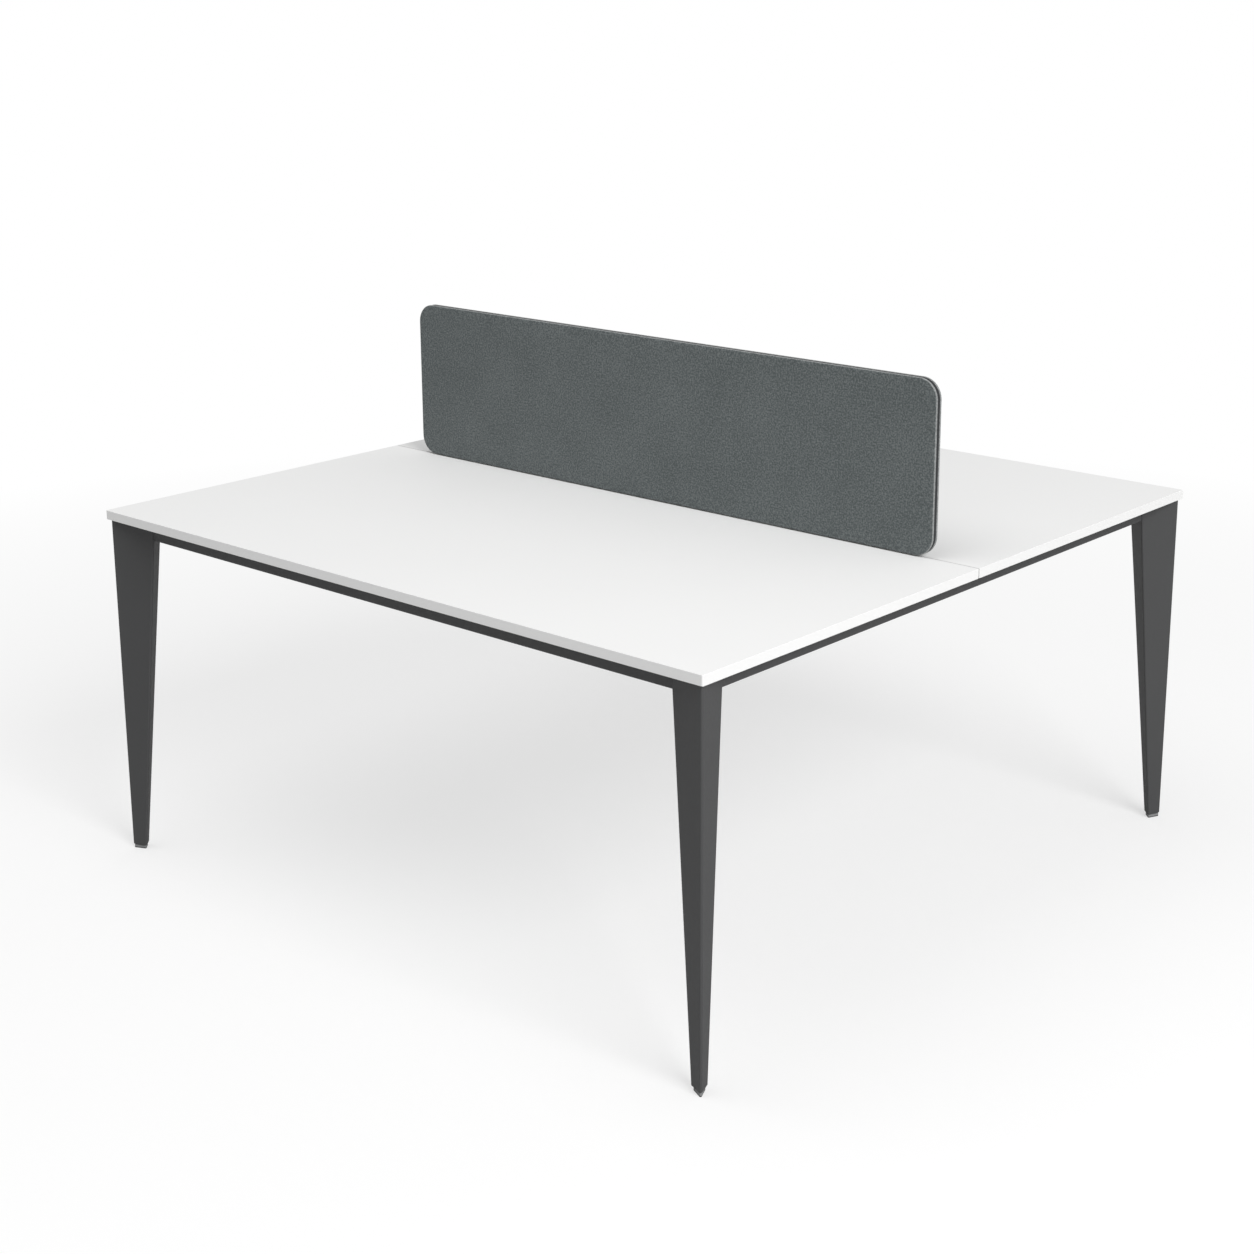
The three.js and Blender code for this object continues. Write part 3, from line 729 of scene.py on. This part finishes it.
class DESK_OT_tube_frame(bpy.types.Operator):
    """Fits the rails, the beam and the pieces on them to the legs and gives them their finishes"""

    bl_idname = "desk.tube_frame"
    bl_label = "Tube frame"

    BEAM_END = 1 * MM

    def execute(self, context):
        settings = settings_of(context).frame
        paint = powder_coat("tube_paint", settings.paint)
        zinc = zinc_plate("plated_steel", settings.zinc)
        shift = rail_shift(settings)
        drop = rail_drop(settings)
        middle = (RAIL_LOW.z + RAIL_HIGH.z) / 2
        for side, inward in INWARD.items():
            rail = self.fitted(f"{side}_rail", inward * shift, paint, "painted_steel")
            for vertex in rail.data.vertices:
                if vertex.co.z < middle:
                    vertex.co.z -= drop
            for node in sorted(frame["nodes"]):
                if node.endswith(f"_stub_for_{side}_rail"):
                    self.fitted(node, inward * shift, paint, "painted_steel")
                elif node.startswith(f"{side}_rail_clip_"):
                    self.fitted(node, inward * shift, zinc, "zinc_steel")
        for side in ("left", "right"):
            self.fitted(f"centre_beam_{side}_end_plate", INWARD[side] * shift, paint, "painted_steel")
        beam = self.fitted("centre_beam", Vector((0, 0, 0)), paint, "painted_steel")
        end = max(vertex.co.x for vertex in beam.data.vertices)
        for vertex in beam.data.vertices:
            if abs(vertex.co.x) > end - self.BEAM_END:
                vertex.co.x -= math.copysign(shift, vertex.co.x)
        for node in frame["nodes"]:
            if node.startswith("centre_beam") and "_clip_" in node or "screen_strap" in node:
                dress(node, zinc)
        dress("screen_core", raw_board("core_board"))
        return {"FINISHED"}

    def fitted(self, node, offset, finish, slot):
        """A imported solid's own form, moved to its place beside the legs."""
        solid = frame["nodes"][node]
        mesh = solid.data.copy()
        mesh.transform(Matrix.Translation(offset) @ solid.matrix_world)
        mesh.materials.clear()
        mesh.materials.append(finish)
        piece = bpy.data.objects.new(f"{node}_fitted", mesh)
        bpy.context.scene.collection.objects.link(piece)
        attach(piece, ROOT_BODY)
        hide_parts(node)
        return piece


class DESK_OT_feet(bpy.types.Operator):
    """Builds the levelling feet: moulded pads and threaded stems"""

    bl_idname = "desk.feet"
    bl_label = "Levelling feet"

    CORNER_STEPS = 12
    SIDE_CUTS = 12
    SOLE_STEPS = 5
    SOLE_INSET = 4.0 * MM
    SOLE_RADIUS = 0.8 * MM
    SIDE_TOP = 6.0 * MM
    SLOPE_FOOT = (0.3 * MM, 6.4 * MM)
    SLOPE_INSET = 1.6 * MM
    TOP_INSET = 2.0 * MM
    EASE = 0.3 * MM
    TIGHTEST_CORNER = 0.5 * MM
    SOCKET_DEPTH = 5.0 * MM
    THREAD_STEPS = 24
    THREAD_END = 1.0 * MM

    def execute(self, context):
        settings = settings_of(context).foot
        leg = settings_of(context).frame
        plastic = moulded_plastic("foot_plastic", settings)
        zinc = zinc_plate("stem_zinc", leg.zinc)
        pad_points, pad_faces = self.pad(settings)
        stem_points, stem_faces = self.stem(settings)
        middle = Matrix.Translation((foot_middle(leg), foot_middle(leg), 0))
        for turn, corner in enumerate(CORNERS):
            place = corner_matrix(leg, turn) @ middle
            pad = new_piece(f"{corner}_foot", pad_points, pad_faces, plastic)
            stem = new_piece(f"{corner}_threaded_stem", stem_points, stem_faces, zinc)
            pad.data.set_sharp_from_angle(angle=SHARP_THREAD)
            stem.data.set_sharp_from_angle(angle=SHARP_THREAD)
            for piece, node, slot in ((pad, "pad", "foot_plastic"), (stem, "stem", "zinc_steel")):
                piece.data.transform(place)
                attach(piece, f"{corner}_foot")
                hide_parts(f"{corner}_foot_{node}")
        return {"FINISHED"}

    def pad(self, settings):
        """A three-sided glide under the leg: rounded sole, upright sides, sloping top and a socket."""
        top = FOOT_TOP
        ease = self.EASE
        round_off = self.SOLE_RADIUS
        profile = [(self.SOLE_INSET, 0.0)]
        for a in quarter_angles(self.SOLE_STEPS):
            profile.append((round_off * (1 - math.sin(a)), round_off * (1 - math.cos(a))))
        profile += [(0.0, self.SIDE_TOP), self.SLOPE_FOOT]
        profile += [(self.SLOPE_INSET, top - ease), (self.TOP_INSET, top)]
        rings = []
        for inset, z in profile:
            corners = wedge(settings.side, settings.apex, -inset)
            radius = max(settings.corner - inset, self.TIGHTEST_CORNER)
            outline = rounded_corners(corners, radius, self.CORNER_STEPS, self.SIDE_CUTS)
            rings.append([(x, y, z) for x, y in outline])
        angles = [math.atan2(y, x) for x, y, _ in rings[0]]
        socket = STEM_RADIUS + ease
        rings.append(circle(socket + ease, top, angles))
        rings.append(circle(socket, top - ease, angles))
        rings.append(circle(socket, top - self.SOCKET_DEPTH, angles))
        return loft(rings)

    def stem(self, settings):
        """A rod with a thread that runs up it as one helix."""
        crest = STEM_RADIUS
        root = crest - settings.thread
        steps = self.THREAD_STEPS
        turns = int((STEM_HIGH.z - STEM_LOW.z) / settings.pitch)
        points = []
        for level in range(2 * turns + 1):
            for i in range(steps):
                z = STEM_LOW.z + settings.pitch * (level + i * 2 / steps) / 2
                z = min(max(z, STEM_LOW.z), STEM_HIGH.z - self.THREAD_END)
                radius = crest if level % 2 else root
                points += circle(radius, z, [math.tau * i / steps])
        faces = []
        for level in range(2 * turns - 2):
            for i in range(steps):
                a = level * steps + i
                if i + 1 < steps:
                    faces.append((a, a + 1, a + 1 + steps, a + steps))
                else:
                    b = (level + 2) * steps
                    faces.append((a, b, b + steps, a + steps))
        faces.append(tuple(reversed([*range(steps), 2 * steps, steps])))
        last = (2 * turns - 2) * steps
        faces.append((last + steps, *range(last, last + steps), last + 2 * steps))
        return points, faces


class DESK_OT_screen(bpy.types.Operator):
    """Builds the screen's two padded covers, their edges with a painted highlight, and the strip between them
    """

    bl_idname = "desk.screen"
    bl_label = "Fabric screen"

    CUTS = (20, 84)
    LINING = 2.2 * MM
    TUCK = 0.8 * MM
    TUCK_EASE = 0.3
    EDGE_LEVELS = 8
    SHOULDER_STEPS = 6
    FACE_INSETS_MM = (6, 11, 18, 27, 38, 52, 68, 86, 106, 126, 146, 164)
    CROWN_REACH_MM = 24.0
    RIPPLE_REACH = 30 * MM
    TIGHTEST_CORNER = 0.5 * MM
    BULGE = 0.3 * MM
    BULGE_STEPS = 6

    def execute(self, context):
        settings = settings_of(context).screen
        self.settings = settings
        self.middle = Vector((0, 0, (TRIM_LOW.z + TRIM_HIGH.z) / 2))
        fabric = woven_fabric("screen_weave", settings, settings.fabric, settings.fabric_light)
        # painted highlight: the edge weave is paler than the face weave, standing in for the light caught on
        # the rounded edge
        painted_edge_highlight = woven_fabric("screen_painted_edge_highlight", settings, settings.painted_edge_highlight, settings.painted_highlight_yarn)
        for name, side in (("front", -1), ("rear", 1)):
            cover = new_piece(f"screen_{name}_cover", *self.cover(side), fabric)
            cover.data.materials.append(painted_edge_highlight)
            # painted highlight: the edge faces take the paler weave
            edge_faces = self.EDGE_LEVELS * len(self.outline(0.0))
            for face in cover.data.polygons[:edge_faces]:
                face.material_index = 1
            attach(cover, ROOT_BODY)
            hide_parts(f"screen_{name}_pad")
        strip = new_piece("screen_edge_strip", *self.strip(), edge_tape("strip_tape", settings.strip))
        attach(strip, ROOT_BODY)
        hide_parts("screen_edge_trim")
        return {"FINISHED"}

    def outline(self, inset, cuts=None):
        """The screen's outline in X and Z, drawn in by an inset."""
        width = TRIM_HIGH.x - TRIM_LOW.x - 2 * inset
        height = TRIM_HIGH.z - TRIM_LOW.z - 2 * inset
        radius = max(self.settings.corner_radius - inset, self.TIGHTEST_CORNER)
        return rounded_rectangle(width, height, radius, self.settings.turns, cuts or self.CUTS)

    def cover(self, side):
        """One crowned cover: wrapped round the board's edge, with a soft shoulder and a padded face."""
        settings = self.settings
        face = abs(PAD_LOW.y)
        back = abs(PAD_HIGH.y)
        wrap = face - settings.wrap
        shoulder = face - settings.crown
        tuck = self.TUCK
        ease = tuck * self.TUCK_EASE
        steps = [(self.LINING, back), (self.LINING, wrap), (tuck, wrap)]
        steps += [(ease, wrap + ease), (0.0, wrap + tuck)]
        for a in quarter_angles(self.SHOULDER_STEPS):
            steps.append((settings.edge * (1 - math.cos(a)), shoulder - settings.edge * (1 - math.sin(a))))
        for inset in self.FACE_INSETS_MM:
            rise = 1.0 - math.exp(-inset / self.CROWN_REACH_MM)
            steps.append((inset * MM, shoulder + settings.crown * rise))
        rings = []
        for inset, out in steps:
            softness = min(1.0, inset / self.RIPPLE_REACH) if out > shoulder else 0.0
            ring = []
            for x, z in self.outline(inset):
                soft = self.ripple(x, z, side) * softness
                ring.append((-side * x, side * (out + soft), z + self.middle.z))
            rings.append(ring)
        return loft(rings)

    def ripple(self, x, z, side):
        """Soft unevenness of the padding, the same in every run."""
        broad = noise.noise(Vector((x * 5.0, z * 7.0, 3.7 * side)))
        small = noise.noise(Vector((x * 19.0, z * 23.0, 11.3 * side)))
        return self.settings.ripple * (broad * 0.75 + small * 0.25)

    def strip(self):
        """The tape round the board, set back a little between the two covers."""
        half = abs(PAD_LOW.y) - self.settings.wrap
        depth = self.settings.strip_depth
        steps = self.BULGE_STEPS
        profile = [(self.LINING, -half), (depth, -half)]
        for i in range(1, steps):
            rise = self.BULGE * math.sin(math.pi * i / steps)
            profile.append((depth - rise, -half + 2 * half * i / steps))
        profile += [(depth, half), (self.LINING, half)]
        rings = []
        for inset, y in reversed(profile):
            rings.append([(x, y, z + self.middle.z) for x, z in self.outline(inset, (0, 0))])
        return closed_loft(rings)


class DESK_OT_fasteners(bpy.types.Operator):
    """Adds the screws of the clips, the locking screws of the rails and the bolts of the beam"""

    bl_idname = "desk.fasteners"
    bl_label = "Fasteners"

    STEPS = 24
    CLIP_SCREW = 4.2 * MM
    LOCKING_SCREW = 5.4 * MM
    BEAM_BOLT = 5.6 * MM
    HEAD_HEIGHT = 0.62
    HEAD_PROFILE = ((1.0, 0.0), (1.0, 0.25), (0.94, 0.6), (0.8, 0.88), (0.68, 1.0))
    SOCKET_SIZE = 0.5
    SOCKET_FLOOR = 0.35
    CLIP_ACROSS = 13.0 * MM
    CLIP_ALONG = 14.0 * MM
    CLIP_FLANGE = 2.5 * MM
    LOCKING_REACH = 655.5 * MM
    BOLT_SPREAD = 46.0 * MM
    FACING_DOWN = Matrix.Rotation(math.pi, 4, "X")

    def execute(self, context):
        settings = settings_of(context).frame
        self.shift = rail_shift(settings)
        self.drop = rail_drop(settings)
        zinc = zinc_plate("screw_zinc", settings.zinc)
        groups = (
            ("clip_screws", self.CLIP_SCREW, self.clip_places()),
            ("rail_locking_screws", self.LOCKING_SCREW, self.rail_places()),
            ("beam_bolts", self.BEAM_BOLT, self.beam_places()),
        )
        for name, radius, places in groups:
            points = []
            faces = []
            head_points, head_faces = self.head(radius)
            for matrix in places:
                first = len(points)
                points += [tuple(matrix @ Vector(p)) for p in head_points]
                faces += [tuple(first + i for i in face) for face in head_faces]
            screws = new_piece(name, points, faces, zinc)
            screws.data.set_sharp_from_angle(angle=SHARP_EDGE)
            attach(screws, ROOT_BODY)
        return {"FINISHED"}

    def head(self, radius):
        """A button head with a hexagonal socket; it stands on Z = 0 and faces up."""
        height = radius * self.HEAD_HEIGHT
        flat = radius * self.SOCKET_SIZE
        sixth = math.pi / 3
        angles = [math.tau * i / self.STEPS for i in range(self.STEPS)]
        reach = [flat / math.cos((a + sixth / 2) % sixth - sixth / 2) for a in angles]
        rings = [circle(radius * width, height * rise, angles) for width, rise in self.HEAD_PROFILE]
        for z in (height, height * self.SOCKET_FLOOR):
            rings.append([(r * math.cos(a), r * math.sin(a), z) for r, a in zip(reach, angles)])
        return loft(rings)

    def clip_places(self):
        """Under the flat flange of each clip, two screws that face down."""
        across = self.CLIP_ACROSS
        ends = (-self.CLIP_ALONG, self.CLIP_ALONG)
        places = []
        for node in sorted(n for n in frame["nodes"] if "_clip_" in n):
            low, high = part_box(node)
            if "rail_clip" in node:
                move = INWARD[node.split("_")[0]] * self.shift
                low = low + move
                high = high + move
            middle = (low + high) / 2
            z = high.z - self.CLIP_FLANGE
            if high.x - low.x > high.y - low.y:
                outer = middle.y < 0 if "rail" in node else "rear" in node
                y = low.y + across if outer else high.y - across
                spots = [(middle.x + end, y) for end in ends]
            else:
                x = low.x + across if middle.x < 0 else high.x - across
                spots = [(x, middle.y + end) for end in ends]
            places += [Matrix.Translation((x, y, z)) @ self.FACING_DOWN for x, y in spots]
        return places

    def rail_places(self):
        """At both ends of each rail, one screw from below into the leg's stub."""
        places = []
        for side in INWARD:
            low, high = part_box(f"{side}_rail")
            middle = (low + high) / 2 + INWARD[side] * self.shift
            under = low.z - self.drop
            for reach in (-self.LOCKING_REACH, self.LOCKING_REACH):
                if side in ("front", "rear"):
                    spot = (reach, middle.y, under)
                else:
                    spot = (middle.x, reach, under)
                places.append(Matrix.Translation(spot) @ self.FACING_DOWN)
        return places

    def beam_places(self):
        """Through each end plate of the beam, two bolts that face inward."""
        places = []
        for name, sign in (("left", 1), ("right", -1)):
            low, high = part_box(f"centre_beam_{name}_end_plate")
            middle = (low + high) / 2
            face = (high.x if sign > 0 else low.x) + sign * self.shift
            for y in (-self.BOLT_SPREAD, self.BOLT_SPREAD):
                spot = Matrix.Translation((face, y, middle.z))
                places.append(spot @ Matrix.Rotation(sign * QUARTER_TURN, 4, "Y"))
        return places


class DESK_OT_stage(bpy.types.Operator):
    """Sets up the camera, the pale floor and the soft light"""

    bl_idname = "desk.stage"
    bl_label = "Stage"

    FLOOR_HALF = 60.0
    GLOW = 0.56
    SENSOR_MM = 36.0
    SIGHT = 200.0
    KEY_PLACE = (8.1, -2.45, 5.75)
    KEY_SIZE = 5.6
    FILL_PLACE = (-1.0, -1.6, 5.8)
    FILL_SIZE = 5.0
    LIGHT_AIM = Vector((0.0, 0.0, 0.6))

    def execute(self, context):
        settings = settings_of(context).stage
        scene = context.scene
        scene.view_settings.view_transform = "Standard"
        self.add_camera(scene, settings)
        self.add_floor(settings)
        self.add_room(scene, settings)
        self.add_lamp("key_light", self.KEY_PLACE, self.KEY_SIZE, settings.key_power)
        self.add_lamp("fill_light", self.FILL_PLACE, self.FILL_SIZE, settings.fill_power)
        return {"FINISHED"}

    def add_camera(self, scene, settings):
        """The view of the photograph, with a small lens shift."""
        data = bpy.data.cameras.new("camera")
        data.lens = settings.lens
        data.sensor_width = self.SENSOR_MM
        data.shift_x, data.shift_y = settings.shift
        data.clip_end = self.SIGHT
        camera = bpy.data.objects.new("camera", data)
        camera.location = settings.camera_place
        camera.rotation_euler = (QUARTER_TURN - settings.camera_dip, 0.0, settings.camera_turn)
        scene.collection.objects.link(camera)
        scene.camera = camera

    def seen(self, finish):
        """1 for rays from the camera, else 0."""
        return finish.add("ShaderNodeLightPath", output="Is Camera Ray")

    def add_floor(self, settings):
        """A floor that holds the shadow, fades to white and is clear from below."""
        half = self.FLOOR_HALF
        points = [(-half, -half, 0), (half, -half, 0), (half, half, 0), (-half, half, 0)]
        f = Finish.material("pale_floor")
        x, y, _ = f.axes()
        spread = (x * x + y * y).math("SQRT")
        far = ((spread - settings.floor_near) / settings.floor_fade).clamped()
        seen = self.seen(f)
        tone = f.blend(seen, settings.bounce_colour, settings.floor_colour)
        matt = f.add("ShaderNodeBsdfDiffuse", None, {"Color": tone}, "BSDF")
        glow = f.add("ShaderNodeEmission", None, {"Color": WHITE, "Strength": 1.0}, "Emission")
        share = seen * (far * (1.0 - self.GLOW) + self.GLOW)
        lit = f.add("ShaderNodeMixShader", None, {0: share, 1: matt, 2: glow})
        under = f.add("ShaderNodeNewGeometry", output="Backfacing")
        clear = f.add("ShaderNodeBsdfTransparent", output="BSDF")
        f.add_output(f.add("ShaderNodeMixShader", None, {0: under, 1: lit, 2: clear}))
        floor = new_piece("floor", points, [(0, 1, 2, 3)], f.owner, smooth=False)

    def add_room(self, scene, settings):
        """White to the camera, an even light to everything else."""
        room = bpy.data.worlds.new("room")
        scene.world = room
        f = Finish(room)
        strength = self.seen(f) * (1.0 - settings.room_light) + settings.room_light
        light = f.add("ShaderNodeBackground", None, {"Color": WHITE, "Strength": strength}, "Background")
        f.add_output(light, "ShaderNodeOutputWorld")

    def add_lamp(self, name, place, size, power):
        """A round soft light that faces the desk."""
        data = bpy.data.lights.new(name, "AREA")
        data.shape = "DISK"
        data.size = size
        data.energy = power
        lamp = bpy.data.objects.new(name, data)
        lamp.location = place
        aim = self.LIGHT_AIM - Vector(place)
        lamp.rotation_euler = aim.to_track_quat("-Z", "Y").to_euler()
        bpy.context.scene.collection.objects.link(lamp)


class DESK_PT_panel(bpy.types.Panel):
    """Lists the desk's pieces and their settings"""

    bl_idname = "DESK_PT_panel"
    bl_label = "Benching desk"
    bl_space_type = "VIEW_3D"
    bl_region_type = "UI"
    bl_category = "Desk"

    def draw(self, context):
        settings = settings_of(context)
        for operator, group in BUILD_ORDER:
            box = self.layout.box()
            box.operator(operator.bl_idname)
            part = getattr(settings, group)
            for key in part.bl_rna.properties.keys():
                if key not in ("rna_type", "name"):
                    box.prop(part, key)


BUILD_ORDER = (
    (DESK_OT_stage, "stage"),
    (DESK_OT_worktops, "worktop"),
    (DESK_OT_legs, "frame"),
    (DESK_OT_tube_frame, "frame"),
    (DESK_OT_feet, "foot"),
    (DESK_OT_screen, "screen"),
    (DESK_OT_fasteners, "frame"),
)
CLASSES = (
    WorktopSettings,
    FrameSettings,
    FootSettings,
    ScreenSettings,
    StageSettings,
    DeskSettings,
    *(operator for operator, _ in BUILD_ORDER),
    DESK_PT_panel,
)


def register():
    for each in CLASSES:
        bpy.utils.register_class(each)
    bpy.types.Scene.benching_desk = PointerProperty(type=DeskSettings)


def unregister():
    del bpy.types.Scene.benching_desk
    for each in reversed(CLASSES):
        bpy.utils.unregister_class(each)


def main():
    """Builds every piece in order."""
    for name in ("Cube", "Light", "Camera"):
        spare = bpy.data.objects.get(name)
        if spare is not None:
            bpy.data.objects.remove(spare)
    register()
    for operator, _ in BUILD_ORDER:
        group, name = operator.bl_idname.split(".")
        getattr(getattr(bpy.ops, group), name)()


if __name__ == "__main__":
    main()
